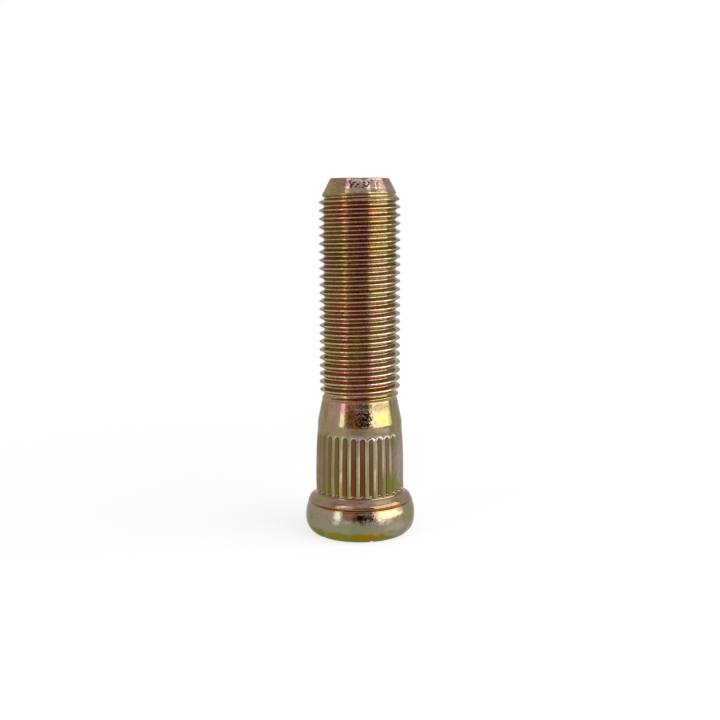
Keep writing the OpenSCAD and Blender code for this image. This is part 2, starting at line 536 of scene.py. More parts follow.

# Patches over ridges and grooves alike, then those on the ridges alone, among them thin painted
# highlights
BAND_PATCHES = (
    ((110, 116, 34), 47, 8.5, 1.4, 1.4, 0.8),
    ((160, 148, 140), 70, 11.8, 2.2, 4.8, 0.8),
    ((132, 116, 84), -72, 11.8, 2.0, 5.0, 0.5),
)
SPLINE_PATCHES = [
    ((120, 124, 50), -27, 8.2, 1.0, 1.4, 0.7),
    ((132, 140, 44), -25, 8.5, 0.4, 1.0, 0.8),
    (BROWN, -11, 7.6, 0.8, 0.8, 0.6),
    ((40, 28, 24), -2, 15.75, 0.18, 0.24, 0.95),
    # Painted highlights: thin bright lines along single ridges
    ((226, 228, 200), -24.5, 10.0, 0.24, 0.6, 0.8),
    ((210, 204, 184), -24.2, 12.8, 0.15, 2.6, 0.7),
    ((214, 198, 182), -12.4, 11.8, 0.15, 3.6, 0.55),
    ((206, 190, 176), -0.8, 11.6, 0.17, 3.0, 0.7),
    ((206, 204, 180), 8.2, 12.4, 0.13, 3.0, 0.5),
    ((222, 208, 196), 19.8, 10.2, 0.15, 2.0, 0.8),
    ((226, 212, 198), 31.4, 12.8, 0.15, 2.2, 0.7),
    ((222, 208, 192), 43.2, 12.6, 0.15, 2.2, 0.6),
    (PALE, 22, 14.0, 1.6, 2.0, 0.6),
] + unseen_patches(65, 16, (MAUVE, LIME, GREEN, PALE, BROWN), 7.5, 15.5, 1.3)

# Tints that the grooves at the back are drawn from, and the degrees from the front where they start
OTHER_GROOVES = (LIME, BROWN, RED_BROWN, TAN, OLIVE)
OTHER_START = 84

# Tints of the thread's flanks, by degrees right of the front: partly the plating's colour, and partly
# a painted shade of the thread's valleys, darkest and reddest at the front
FLANK_TINTS = (
    (-180, (160, 130, 80)),
    (-110, (156, 116, 66)),
    (-88, (134, 126, 118)),
    (-76, (142, 128, 52)),
    (-58, (154, 134, 42)),
    (-38, (172, 126, 50)),
    (-18, (160, 120, 66)),
    (-6, (142, 72, 42)),
    (6, (140, 68, 36)),
    (22, (158, 130, 84)),
    (45, (162, 146, 100)),
    (62, (178, 160, 100)),
    (76, (168, 152, 92)),
    (88, (140, 132, 122)),
    (120, (160, 120, 68)),
    (180, (160, 130, 80)),
)

# Patches on the thread's flanks, and on the tip; some are painted highlights, painted shade and a
# painted reflection
THREAD_PATCHES = [
    # Under the cone: a painted dark reflection at the front and a painted highlight to its right
    ((84, 44, 34), 0, 53.2, 1.6, 0.3, 0.8),
    ((200, 208, 92), 36, 53.2, 1.2, 0.3, 0.8),
    ((176, 100, 42), -42, 50.4, 2.6, 2.0, 0.7),
    ((178, 112, 46), 19, 50.3, 0.6, 0.5, 0.6),
    ((150, 76, 44), -16, 46.0, 1.0, 3.4, 0.5),
    ((128, 124, 44), -40, 44.5, 2.4, 4.6, 0.6),
    ((160, 106, 44), -30, 33.5, 3.0, 3.0, 0.7),
    ((158, 142, 108), 26, 32.0, 1.8, 13.0, 0.8),
    ((162, 148, 108), 50, 32.0, 2.2, 13.0, 0.7),
    ((146, 126, 112), -46, 22.1, 2.6, 0.5, 0.8),
    ((150, 104, 44), 8, 29.0, 1.1, 7.0, 0.6),
    ((158, 116, 44), 12, 49.5, 0.9, 2.2, 0.6),
    ((148, 144, 78), 46, 44.0, 2.0, 3.0, 0.5),
    ((172, 106, 46), -30, 26.5, 3.2, 1.6, 0.6),
    ((172, 112, 64), 40, 36.5, 2.0, 1.0, 0.6),
    ((150, 96, 40), 5, 25.0, 1.8, 1.2, 0.7),
    ((164, 106, 50), 34, 24.0, 1.8, 1.3, 0.7),
    ((150, 112, 46), -44, 23.6, 1.8, 1.2, 0.7),
] + unseen_patches(66, 14, (ORANGE, OLIVE, RED_BROWN, LIME), 23.0, 52.5, 3.0)

TIP_PATCHES = [
    (LIME, -58, 53.8, 0.8, 1.6, 0.7),
    ((166, 138, 130), -20, 54.4, 0.3, 1.4, 1.0),
    ((152, 124, 116), -4, 54.4, 1.5, 1.2, 0.9),
    # Painted highlights: two bright bars right of the front, with a darker gap between them
    ((236, 202, 184), 14, 54.5, 0.32, 1.0, 1.0),
    ((158, 126, 112), 22, 54.3, 0.2, 0.9, 0.9),
    ((232, 200, 184), 27, 54.4, 0.14, 1.0, 0.9),
    ((204, 184, 170), 3, 55.35, 1.7, 0.3, 0.8),
    # Painted shade that trims the right lamp's highlight at its right end
    ((150, 128, 114), 34, 54.4, 0.36, 1.1, 0.9),
    ((128, 102, 88), 42, 54.3, 0.5, 1.5, 0.9),
    ((142, 130, 110), 60, 54.3, 1.0, 1.5, 0.8),
    ((132, 124, 66), -44, 54.2, 0.25, 1.2, 0.7),
    # Painted shade that trims that highlight at its lower end
    ((116, 98, 78), 27, 53.55, 0.9, 0.42, 0.85),
] + unseen_patches(64, 9, (MAUVE, ROSE, BROWN, LIME), 53.2, 55.6, 0.9)


def head_askew(points):
    """Moves the head a little to the right and lifts its lip there."""
    x, y, z = points.T
    share = 1 - smooth_step(COLLAR_TOP_Z - 0.3, COLLAR_TOP_Z + 1.5, z)
    lift = HEAD_TILT * x * smooth_step(1.0, LIP_Z, z) * share
    return np.column_stack((x + HEAD_SHIFT * share, y, z + lift))


def head_and_collar_outline():
    """Radius and height pairs from the edge of the base flat up to the foot of the splines."""
    quarter = math.pi / 2
    flat_edge = [(BASE_R - 0.6, 0), (BASE_R - 0.15, 0)]
    low_curve = arc(BASE_R, BELLY_Z, HEAD_R - BASE_R, BELLY_Z, -quarter, 0, 15)
    barrel = arc(HEAD_R - BARREL_R, BELLY_Z, BARREL_R, BARREL_R, 0, LIP_ANGLE, 9)[1:]
    lip = arc(LIP_R - LIP_ROUND, LIP_Z, LIP_ROUND, LIP_ROUND, LIP_ANGLE, quarter, 4)
    crease = [
        (CREASE_R + 0.05, CREASE_Z - 0.03), (CREASE_R, CREASE_Z),
        (CREASE_R + 0.03, CREASE_Z + 0.05), (COLLAR_R - 0.02, COLLAR_Z - 0.05)]
    shoulder = arc(COLLAR_R - COLLAR_ROUND, COLLAR_Z, COLLAR_ROUND, COLLAR_ROUND, 0, COLLAR_LEAN, 8)
    cone = [((SHOULDER_END_R + FILLET_END_R) / 2, (SHOULDER_END_Z + FILLET_END_Z) / 2)]
    fillet = arc(
        SPLINE_R + FILLET_R, COLLAR_TOP_Z, FILLET_R, FILLET_R,
        math.pi + COLLAR_LEAN, math.pi, 4)
    return flat_edge + low_curve + barrel + lip + crease + shoulder + cone + fillet


def crown(height):
    """Radius over the splines' tops, with their run-out into the shank."""
    t = np.clip((height - CROWN_START_Z) / (CROWN_END_Z - CROWN_START_Z), 0, 1)
    top = SPLINE_R - CROWN_DROP * t * t
    run_out = smooth_step(CROWN_END_Z - RUNOUT_REACH, RUNOUT_Z + RUNOUT_REACH, height)
    return top + (SHANK_R - top) * run_out


def blank(height):
    """Radius of the shank, shoulder and neck, with the shoulder's two corners rounded."""
    cone = SHANK_R - (height - SHOULDER_Z) * (SHANK_R - NECK_R) / (NECK_Z - SHOULDER_Z)
    return soft_max(soft_min(cone, SHANK_R, SHOULDER_ROUND), NECK_R, NECK_ROUND)


def crease_fade(angle):
    """How far the crease has closed: it does so at both sides of the front."""
    degrees = np.abs(right_of_front(angle))
    return 0.95 * smooth_step(36, 60, degrees) * (1 - smooth_step(100, 130, degrees))


def head_shape(radius, angle, height):
    """Radius and height of the head and collar, with their unevenness, dents and nicks."""
    forged = ripple(angle, height, 11, 9, 2, 14, 6.0) * FORGED_H
    on_side = smooth_step(0.1, 0.8, height) * (1 - smooth_step(LIP_Z - 0.3, LIP_Z, height))
    rough_lip = ripple(angle, height, 12, 9, 9, 40, 4.0) * ROUGH_LIP_H
    at_right = bell(angle_gap(angle, FRONT + 78 * DEGREE), 0, 0.5)
    swollen = SWOLLEN_H * at_right * bell(height, 4.0, 1.6)
    closed = CREASE_CLOSED * CREASE_DEPTH * crease_fade(angle) * bell(height, CREASE_Z, 0.1)
    inward = dents(radius, angle, height, HEAD_MARKS) - swollen - closed
    shaped = radius - inward + forged * on_side + rough_lip * bell(height, LIP_Z, 0.2)
    off_front = smooth_step(50, 80, np.abs(right_of_front(angle)))
    sag = COLLAR_SAG * off_front * smooth_step(COLLAR_Z + 0.2, COLLAR_TOP_Z - 0.2, height)
    return shaped, height + dents(radius, angle, height, BASE_NICKS) - sag


def head_tint(radius, angle, height):
    """Grey-green sides, an olive and gold band at the base, an orange painted reflection in the
    crease, and a brown collar with painted shade on the fillet at its top.
    """
    wave = ripple(angle, 0 * height, 21, 9, 2, 18, 1.0) - 2.4 * bell(right_of_front(angle), 48, 22)
    band_z = 1.7 + 0.5 * wave
    tint = paint(GREY, 0.15 + 0.15 * ripple(angle, height, 22, 9, 2, 10, 5.0), TAN)
    tint = paint(tint, 1 - smooth_step(band_z - 0.25, band_z + 0.15, height), OLIVE)
    tint = lay_patches(tint, radius, angle, height, HEAD_PATCHES)
    tint = paint(tint, smooth_step(CREASE_Z, COLLAR_Z, height), COLLAR)
    tint = lay_patches(tint, radius, angle, height, COLLAR_PATCHES)
    # Painted shade on the fillet at the collar's top
    fillet_shade = smooth_step(COLLAR_TOP_Z - 0.25, COLLAR_TOP_Z - 0.12, height)
    tint = paint(tint, 0.9 * fillet_shade, COLLAR_TOP_SHADE)
    # Painted reflection in the crease: an orange line that fades where the crease closes at the sides
    crease = 1.5 * bell(height, CREASE_Z, 0.2) * (1 - crease_fade(angle))
    return paint(tint, np.clip(crease, 0, 1), ORANGE)


def head_fleck(radius, angle, height):
    """Share of dark flecks on the head: few all round, and most just right of the front, where they
    are a painted speckled reflection of the dark card.
    """
    fleck = 0.2 * bell(height, 3.8, 1.0) + 0.2 * bell(height, 5.8, 0.5)
    fleck = fleck + 0.8 * bell(beside(radius, angle, 7), 0, 1.2) * bell(height, 4.1, 0.8)
    return fleck + 0.4 * bell(beside(radius, angle, 24), 0, 0.9) * bell(height, 3.6, 0.5)


def add_head(skin):
    """The head and collar, closed by the base flat. Gives the ring under the splines."""
    angle = np.arange(FINE_COLUMNS) * TAU / FINE_COLUMNS + FRONT
    outline = np.array(head_and_collar_outline())
    radius, height = outline[:, :1], outline[:, 1:]
    tint = head_tint(radius, angle, height)
    fleck = head_fleck(radius, angle, height)
    shaped, lifted = head_shape(radius, angle, height)
    rows = skin.add(shaped, angle, lifted, tint, fleck)
    skin.rings(rows)
    base = [skin.add(ring_r, angle, 0.0, OLIVE) for ring_r in BASE_RINGS]
    skin.rings(np.stack(base + [rows[0]])[::-1][:, ::-1])
    centre = skin.add(0.0, 0.0, 0.0, OLIVE)
    skin.triangles(centre, np.roll(base[0], -1), base[0])
    return rows[-1]


def groove_turns():
    """Even turns from the front of all fine columns: close together at the edges of the grooves."""
    near = np.array((1.2, 2.3, 2.95, 3.5, 4.4)) * DEGREE
    one = np.concatenate(((0,), near, (GROOVE_ANGLE / 2,), GROOVE_ANGLE - near[::-1]))
    starts = GROOVE_PHASE + np.arange(SPLINE_COUNT) * GROOVE_ANGLE
    return (starts[:, None] + one).ravel()


def spread(turn):
    """The true angle at an even turn: the grooves lie a little farther apart at the front."""
    return FRONT + turn + GROOVE_SPREAD * np.sin(turn)


def groove_tints():
    """Upper and lower tint of each groove, counted from the one just right of the front.

    Across the front they go from olive at the left over brown, redder below, to tan at the right; all
    are darkened as a painted shade of the recesses.
    """
    rng = np.random.default_rng(32)
    tints = np.array(OTHER_GROOVES, float)[rng.integers(0, len(OTHER_GROOVES), (SPLINE_COUNT, 2))]
    degrees = right_of_front(FRONT + GROOVE_PHASE + np.arange(SPLINE_COUNT) * GROOVE_ANGLE)
    plain = paint(TAN, 0.6 * bell(degrees, -38, 34), OLIVE)
    brown = bell(degrees, 0, 22)
    at_front = np.abs(degrees) < OTHER_START
    tints[at_front, 0] = paint(plain, brown, BROWN)[at_front]
    tints[at_front, 1] = paint(plain, brown, RED_BROWN)[at_front]
    return GROOVE_SHADE * tints


def ridge_tints():
    """Upper and lower tint of the ridge to the right of each groove: grey and tan, olive below."""
    rng = np.random.default_rng(33)
    upper = paint(TAN, 0.5, GREY)
    lower = paint(upper, RIDGE_FOOT_OLIVE, OLIVE)
    return RIDGE_SHADE * np.array((upper, lower)) + rng.uniform(-8, 8, (SPLINE_COUNT, 2, 1))


def groove_differences():
    """Seeded differences of each groove in radius, top, foot, distance from the axis and turn."""
    rng = np.random.default_rng(31)
    limits = ((-0.02, 0.02), (-0.12, 0.12), (-0.06, 0.12), (-0.03, 0.02), (-0.12, 0.12))
    return [rng.uniform(low, high, SPLINE_COUNT) for low, high in limits]


class Band:
    """The splined band at even turns and heights: its radius, its burrs and its tints."""

    def __init__(self, turn, height):
        wider, higher, foot_higher, farther, turned = groove_differences()
        place = (turn - GROOVE_PHASE) / GROOVE_ANGLE
        nearest = np.round(place).astype(int)
        self.groove = nearest % SPLINE_COUNT
        self.ridge = np.floor(place).astype(int) % SPLINE_COUNT
        self.height = height
        self.angle = spread(turn)
        self.degrees = right_of_front(self.angle)

        # A groove is the cut of a rod with a round top, and across is the angle from its middle
        across = self.angle - spread(GROOVE_PHASE + nearest * GROOVE_ANGLE)
        across = across + (turned * DEGREE)[self.groove]
        reach = (GROOVE_R + wider)[self.groove]
        top_z = (GROOVE_TOP_Z + higher)[self.groove]
        foot_z = (GROOVE_FOOT_Z + foot_higher)[self.groove]
        surface = crown(height)
        centre_r = surface + GROOVE_LIFT + farther[self.groove]
        rise = np.maximum(height - (top_z - reach), 0)
        chord2 = reach * reach - rise * rise - (centre_r * np.sin(across)) ** 2
        bottom = centre_r * np.cos(across) - np.sqrt(np.maximum(chord2, 0))
        bottom = np.where(chord2 > 0, bottom, surface + 1)
        foot = smooth_step(foot_z - 0.08, foot_z + 0.16, height)
        bottom = surface + (bottom - surface) * foot * GROOVE_WEAR

        self.across = across
        self.rise = rise
        self.radius = soft_min(bottom, surface, GROOVE_EDGE_ROUND)
        self.depth = surface - self.radius
        self.past_edge = np.hypot(centre_r * np.sin(across), rise) - reach
        self.to_ridge = centre_r * (GROOVE_ANGLE / 2 - np.abs(across))

    def ripple(self, seed, lowest, highest, reach):
        return ripple(self.angle, self.height, seed, 9, lowest, highest, reach)

    def lay_patches(self, tint, patches):
        return lay_patches(tint, self.radius, self.angle, self.height, patches)

    def ridge_tint(self):
        """Tints of the ridges, with patches, painted highlights along their edges and a duller left
        side.
        """
        sideways = np.abs(self.degrees)
        tint = ridge_tints()[self.ridge]
        tint = paint(tint[..., 1, :], smooth_step(9.5, 13.0, self.height), tint[..., 0, :])
        tint = paint(tint, 0.7 * bell(self.degrees, -60, 40) * (sideways > 48), BAND_LEFT)
        tint = paint(0.93 * tint, 0.1 + 0.1 * self.ripple(33, 3, 24, 5.0), PALE)
        tint = self.lay_patches(tint, SPLINE_PATCHES)
        # Painted highlight along the ridges' edges, stronger on one edge of each ridge and fading
        # towards the sides
        lit = 1 - 0.8 * smooth_step(38, 50, sideways)
        lit = lit * (0.55 + 0.4 * (self.across < 0) + 0.4 * self.ripple(38, 20, 60, 2.0))
        return paint(tint, np.clip(lit, 0, 1) * bell(self.depth, 0.03, 0.03), EDGE_HIGHLIGHT)

    def groove_tint(self):
        tint = groove_tints()[self.groove]
        tint = paint(tint[..., 1, :], smooth_step(11.0, 14.5, self.height), tint[..., 0, :])
        return paint(tint, 0.08 + 0.08 * self.ripple(35, 8, 40, 4.0), RED_BROWN)

    def burr_and_highlight(self):
        """How far the burrs stand up round the arches, and the share of painted highlight on them:
        most of both lies right of the front.
        """
        burr_and_highlight = 2.2 * bell(self.past_edge, 0.1, 0.11) * smooth_step(0.0, 0.2, self.rise)
        burr_and_highlight = burr_and_highlight * (0.5 + 0.5 * self.ripple(36, 10, 60, 2.0))
        from_left = 0.75 * smooth_step(2, 20, self.degrees)
        return burr_and_highlight * (0.25 + from_left * (1 - smooth_step(50, 60, self.degrees)))

    def ridge_end_highlight(self):
        """Share of painted highlight at the ridges' lower ends."""
        end = bell(self.to_ridge, 0, 0.16) * bell(self.height, 6.9, 0.09)
        end = end * (0.5 + 0.5 * self.ripple(37, 12, 50, 3.0))
        return np.clip(1.2 * end, 0, 1)

    def tint(self):
        # Darker tints in the grooves: a painted shade of the recesses
        in_groove = smooth_step(0.03, 0.13, self.depth) * smooth_step(6.92, 7.2, self.height)
        tint = self.lay_patches(
            paint(self.ridge_tint(), in_groove, self.groove_tint()), BAND_PATCHES)
        # Painted highlight on the burrs round the arches
        tint = paint(tint, np.clip(self.burr_and_highlight(), 0, 1), BURR_HIGHLIGHT)
        # Painted shade in the band's foot, where it meets the collar's fillet
        tint = paint(tint, 1 - smooth_step(6.85, 7.03, self.height), FOOT_SHADE)
        # Painted highlight at the ridges' lower ends
        return paint(tint, self.ridge_end_highlight(), RIDGE_END_HIGHLIGHT)


def add_splines(skin, lowest):
    """The splined band, from the ring under it up to its run-out. Gives its top ring and angles."""
    foot = np.array((6.77, 6.84, 6.91, 6.98, 7.07, 7.23, 7.8))
    side = np.linspace(8.2, 14.6, 10)
    arches = np.array((15.2, 15.5, 15.68, 15.8, 15.9, 15.98, 16.06, 16.14, 16.22, 16.32, 16.46))
    band = Band(groove_turns(), np.concatenate((foot, side, arches))[:, None])
    radius = band.radius + BURR_H * band.burr_and_highlight()
    rows = skin.add(radius, band.angle, band.height, band.tint(), BAND_FLECK)
    skin.rings(np.vstack((lowest, rows)))
    return rows[-1], band.angle


def shank_tint(radius, angle, height):
    """Clouds of tan and grey under the patches."""
    tint = paint(TAN, 0.3 + 0.3 * ripple(angle, height, 41, 9, 2, 12, 6.0), GREY)
    return lay_patches(tint, radius, angle, height, SHANK_PATCHES)


def add_shank(skin, lowest, angle):
    """The plain shank and the lower shoulder, on half the columns. Gives their top ring."""
    corner = (16.65, 16.9, 17.3, 17.6, 17.74, 17.85, 17.96, 18.1)
    height = np.concatenate((corner, np.linspace(18.45, 20.5, 7)))[:, None]
    radius = blank(height) + crown(height) - SHANK_R
    on_cone = smooth_step(17.9, 18.2, height)
    # Dark flecks each side of the front on the shoulder's cone: a painted speckled reflection of the
    # cards
    fleck = 0.15 + 1.3 * bell(beside(radius, angle, 9), 0, 1.1) * on_cone
    fleck = fleck + 0.5 * bell(beside(radius, angle, -9), 0, 1.0) * on_cone
    rows = skin.add(radius, angle, height, shank_tint(radius, angle, height), fleck)
    skin.halve(lowest, rows[0])
    skin.rings(rows)
    return rows[-1]


def grown(height, fade_h):
    """How far the thread has grown out of the neck, from 0 to 1."""
    return np.clip((height - THREAD_END_Z) / fade_h, 0, 1)


def tip_cone(height):
    return THREAD_R - (height - CONE_Z) * math.tan(TIP_ANGLE)


def thread_radius(offset, height):
    """Radius where a crest is so far above or below, with the run-out and the tip's cone."""
    neck = blank(height)
    crest = THREAD_R * grown(height, CREST_FADE_H) + neck * (1 - grown(height, CREST_FADE_H))
    peak = crest + (PEAK_R - THREAD_R)
    root = ROOT_R * grown(height, ROOT_FADE_H) + neck * (1 - grown(height, ROOT_FADE_H))
    flank = peak - np.abs(offset) / math.tan(FLANK_ANGLE)
    radius = soft_max(soft_min(flank, crest, CREST_ROUND), root, ROOT_ROUND)
    radius = np.where(height < THREAD_END_Z, neck, radius)
    return soft_min(radius, tip_cone(height), CONE_EDGE_ROUND)


def tip_tint(radius, angle, height):
    """Brown at the left and mauve at the right, under the patches."""
    right = smooth_step(-30 * DEGREE, 10 * DEGREE, angle_gap(angle, FRONT))
    return lay_patches(paint(LEFT_CONE, right, RIGHT_CONE), radius, angle, height, TIP_PATCHES)


def low_down(height):
    """1 at the lower end of the thread, 0 from its middle up."""
    return 1 - smooth_step(30, 46, height)


def flank_tint(radius, angle, height):
    """Brown, red-brown and golden flanks, by the angle from the front, partly a painted shade of the
    valleys.
    """
    stops = [stop for stop, _ in FLANK_TINTS]
    channels = zip(*(tint for _, tint in FLANK_TINTS))
    degrees = right_of_front(angle)
    tint = np.stack([np.interp(degrees, stops, channel) for channel in channels], axis=-1)
    golden = smooth_step(0.0, 0.5, ripple(angle, height, 52, 9, 2, 12, 9.0))
    tint = paint(tint, golden, GOLDEN_FLANK)
    reddish = smooth_step(0.1, 0.5, ripple(angle, height, 55, 9, 2, 12, 7.0))
    tint = paint(tint, 0.5 * reddish, REDDISH_FLANK)
    return lay_patches(tint, radius, angle, height, THREAD_PATCHES)


def crest_tint(angle, height):
    """Pinkish and greenish crest lines, lighter low down and to the right as a painted highlight, and
    greyer at both sides as a painted shade.
    """
    degrees = right_of_front(angle)
    pinkish = 0.4 + 0.4 * ripple(angle, height, 53, 9, 3, 24, 8.0)
    tint = paint(CREST, pinkish, PINK_CREST)
    tint = paint(tint, 0.15 + 0.15 * ripple(angle, height, 54, 9, 3, 24, 5.0), LIME)
    tint = paint(tint, 0.5 * bell(degrees, 0, 16), FRONT_CREST)
    # Painted highlight on the crests low down, more of it to the right
    crest_highlight = low_down(height) * (0.35 + 0.45 * smooth_step(5, 45, degrees))
    tint = paint(tint, crest_highlight, LOW_CREST_HIGHLIGHT)
    # Painted shade on the crests at both sides
    return paint(tint, 0.9 * bell(np.abs(degrees), 88, 18), SIDE_CREST_SHADE)


def thread_tint(radius, angle, height):
    """Tints of the neck, of the thread's crests, flanks and roots, and of the cone that cuts them."""
    degrees = right_of_front(angle)
    depth = np.clip((THREAD_R - radius) / (THREAD_R - ROOT_R), 0, 1)
    # Painted shade in the roots low down, most of it right of the front
    root_shade = 0.45 * low_down(height) * smooth_step(-6, 20, degrees)
    root = paint(ROOT, root_shade, LOW_ROOT_SHADE)
    flank = paint(flank_tint(radius, angle, height), smooth_step(0.9, 0.99, depth), root)
    tint = paint(crest_tint(angle, height), smooth_step(0.03, 0.3, depth), flank)
    tint = paint(shank_tint(radius, angle, height), grown(height, 0.5), tint)
    under_cone = tip_cone(height) - radius
    on_tip = smooth_step(CONE_Z - 0.1, CONE_Z + 0.3, height)
    cone = on_tip * (1 - smooth_step(0.05, 0.14, under_cone))
    tint = paint(tint, cone, tip_tint(radius, angle, height))
    edge = paint(LEFT_EDGE, smooth_step(0, 14, degrees), RIGHT_EDGE)
    return paint(tint, 0.8 * on_tip * bell(under_cone, 0.06, 0.04), edge)


def climbing_rows(angle):
    """Heights by column and row, each row's offset from its nearest crest, and the rows in a turn."""
    near_crest = np.array((0.055, 0.105, 0.16, 0.44, 0.51, 0.585))
    steps = np.concatenate((near_crest, PITCH - near_crest[::-1]))
    first = CREST_Z - PITCH * math.ceil((CREST_Z - CLIMB_START_Z) / PITCH + 2)
    turns = math.ceil((CLIMB_END_Z - first) / PITCH) + 1
    row_z = (np.arange(turns)[:, None] * PITCH + steps).ravel() + first
    rise = (angle - FRONT) / TAU * PITCH
    offset = np.tile((steps + PITCH / 2) % PITCH - PITCH / 2, turns)
    return row_z[None, :] + rise[:, None], offset, len(steps)


def join_climbing(skin, numbers, rows_a_turn, lowest, upper):
    """Joins the columns to each other, and to the level rings under and over them."""
    used = numbers >= 0
    bottom = used.argmax(axis=1)
    top = bottom + used.sum(axis=1) - 1
    columns = len(numbers)
    for i in range(columns):
        after = (i + 1) % columns
        shift = rows_a_turn if after == 0 else 0
        here = numbers[i]
        there = np.roll(numbers[after], -shift)
        there_bottom = bottom[after] - shift
        there_top = top[after] - shift
        rows = np.arange(max(bottom[i], there_bottom), min(top[i], there_top))
        skin.quads(here[rows], there[rows], there[rows + 1], here[rows + 1])
        if there_bottom < bottom[i]:
            skin.face(here[bottom[i]], there[there_bottom], there[bottom[i]])
        if there_top < top[i]:
            skin.face(here[there_top], there[there_top], here[top[i]])
        skin.face(lowest[i], lowest[after], there[there_bottom], here[bottom[i]])
        skin.face(here[top[i]], there[there_top], upper[after], upper[i])


def add_thread(skin, lowest, angle):
    """Rows that climb with the thread: the column after the last is the first, one pitch higher."""
    height, offset, rows_a_turn = climbing_rows(angle)
    used = (height > CLIMB_START_Z) & (height < CLIMB_END_Z)
    turned = np.broadcast_to(angle[:, None], height.shape)
    radius = thread_radius(offset[None, :], height)
    tint = thread_tint(radius, turned, height)
    worn = ripple(turned, height, 51, 12, 3, 30, 3.0) * WORN_H
    radius = radius + worn * grown(height, CREST_FADE_H)
    numbers = np.full(height.shape, -1)
    numbers[used] = skin.add(
        radius[used], turned[used], height[used], tint[used], THREAD_FLECK)
    upper_z = CLIMB_END_Z + 0.12
    upper_r = tip_cone(upper_z)
    upper = skin.add(upper_r, angle, upper_z, tip_tint(upper_r, angle, upper_z))
    join_climbing(skin, numbers, rows_a_turn, lowest, upper)
    return upper


def add_tip(skin, lowest, angle):
    """The plain part of the cone, its worn rim and the flat end."""
    gap = angle_gap(angle, FRONT)
    cone_end = OVERALL_LEN - RIM_ROUND
    height = np.linspace(CLIMB_END_Z + 0.35, cone_end, 7)[:, None]
    radius = tip_cone(height) + WORN_H * ripple(angle, height, 72, 9, 8, 50, 0.8)
    fleck = THREAD_FLECK + 3.4 * bell(gap, -0.02, 0.28) * bell(height, 54.75, 0.5)
    rows = [skin.add(radius, angle, height, tip_tint(radius, angle, height), fleck)]

    # The rim's arc ends at the level of the flat end, and is worn down unevenly before that
    wear = ripple(angle, 0.0, 71, 10, 2, 26, 1.0)
    rim_tint = paint(RIM, bell(gap, 0, 0.5), FRONT_RIM)
    arc_top = cone_end + RIM_ROUND * (1 - math.sin(TIP_ANGLE))
    for turn in np.linspace(0.2, 1, 5):
        bend = TIP_ANGLE + (math.pi / 2 - TIP_ANGLE) * turn
        rim_r = tip_cone(cone_end) - RIM_ROUND * (math.cos(TIP_ANGLE) - math.cos(bend))
        rim_z = cone_end + RIM_ROUND * (math.sin(bend) - math.sin(TIP_ANGLE))
        rim_z = rim_z + OVERALL_LEN - arc_top + RIM_WEAR_H * (wear - 1) * (turn < 1)
        rows.append(skin.add(rim_r, angle, rim_z, rim_tint)[None])

    for ring_r in END_RINGS:
        cloud = 0.4 + 0.4 * ripple(angle, ring_r, 73, 9, 1, 8, 3.0)
        rows.append(skin.add(ring_r, angle, OVERALL_LEN, paint(GREY, cloud, MAUVE))[None])
    rows = np.vstack([lowest[None]] + rows)
    skin.rings(rows)
    centre = skin.add(0.0, 0.0, OVERALL_LEN, GREY)
    skin.triangles(rows[-1], np.roll(rows[-1], -1), centre)


def make_stud():
    skin = Skin()
    collar_top = add_head(skin)
    spline_top, fine_angle = add_splines(skin, collar_top)
    coarse_angle = fine_angle[::2]
    shoulder = add_shank(skin, spline_top, coarse_angle)
    cone = add_thread(skin, shoulder, coarse_angle)
    add_tip(skin, cone, coarse_angle)
    return skin.to_object("plated_stud")


class Nodes:
    """Short ways to add shader nodes to a material or world."""

    def __init__(self, owner):
        owner.use_nodes = True
        self.tree = owner.node_tree
        self.tree.nodes.clear()

    def add(self, kind, **settings):
        made = self.tree.nodes.new(kind)
        for name, value in settings.items():
            setattr(made, name, value)
        return made

    def put(self, value, socket):
        """Links an output to a socket, or sets the socket to a plain value."""
        if isinstance(value, bpy.types.NodeSocket):
            self.tree.links.new(value, socket)
        else:
            socket.default_value = value

    def maths(self, operation, *values, clamp=False):
        made = self.add("ShaderNodeMath", operation=operation, use_clamp=clamp)
        for value, socket in zip(values, made.inputs):
            self.put(value, socket)
        return made.outputs[0]

    def noise(self, vector, scale):
        made = self.add("ShaderNodeTexNoise")
        self.put(vector, made.inputs["Vector"])
        made.inputs["Scale"].default_value = scale
        return made.outputs["Fac"]

    def ramp(self, value, from_low, from_high, to_low=0.0, to_high=1.0):
        made = self.add("ShaderNodeMapRange", interpolation_type="SMOOTHSTEP")
        self.put(value, made.inputs["Value"])
        limits = {"From Min": from_low, "From Max": from_high, "To Min": to_low, "To Max": to_high}
        for name, number in limits.items():
            made.inputs[name].default_value = number
        return made.outputs["Result"]

    def mix(self, share, first, second, blend="MIX"):
        """Mixes two colours: inputs 6 and 7 and output 2 are the node's sockets for colours."""
        made = self.add("ShaderNodeMix", data_type="RGBA", blend_type=blend)
        self.put(share, made.inputs["Factor"])
        self.put(first, made.inputs[6])
        self.put(second, made.inputs[7])
        return made.outputs[2]


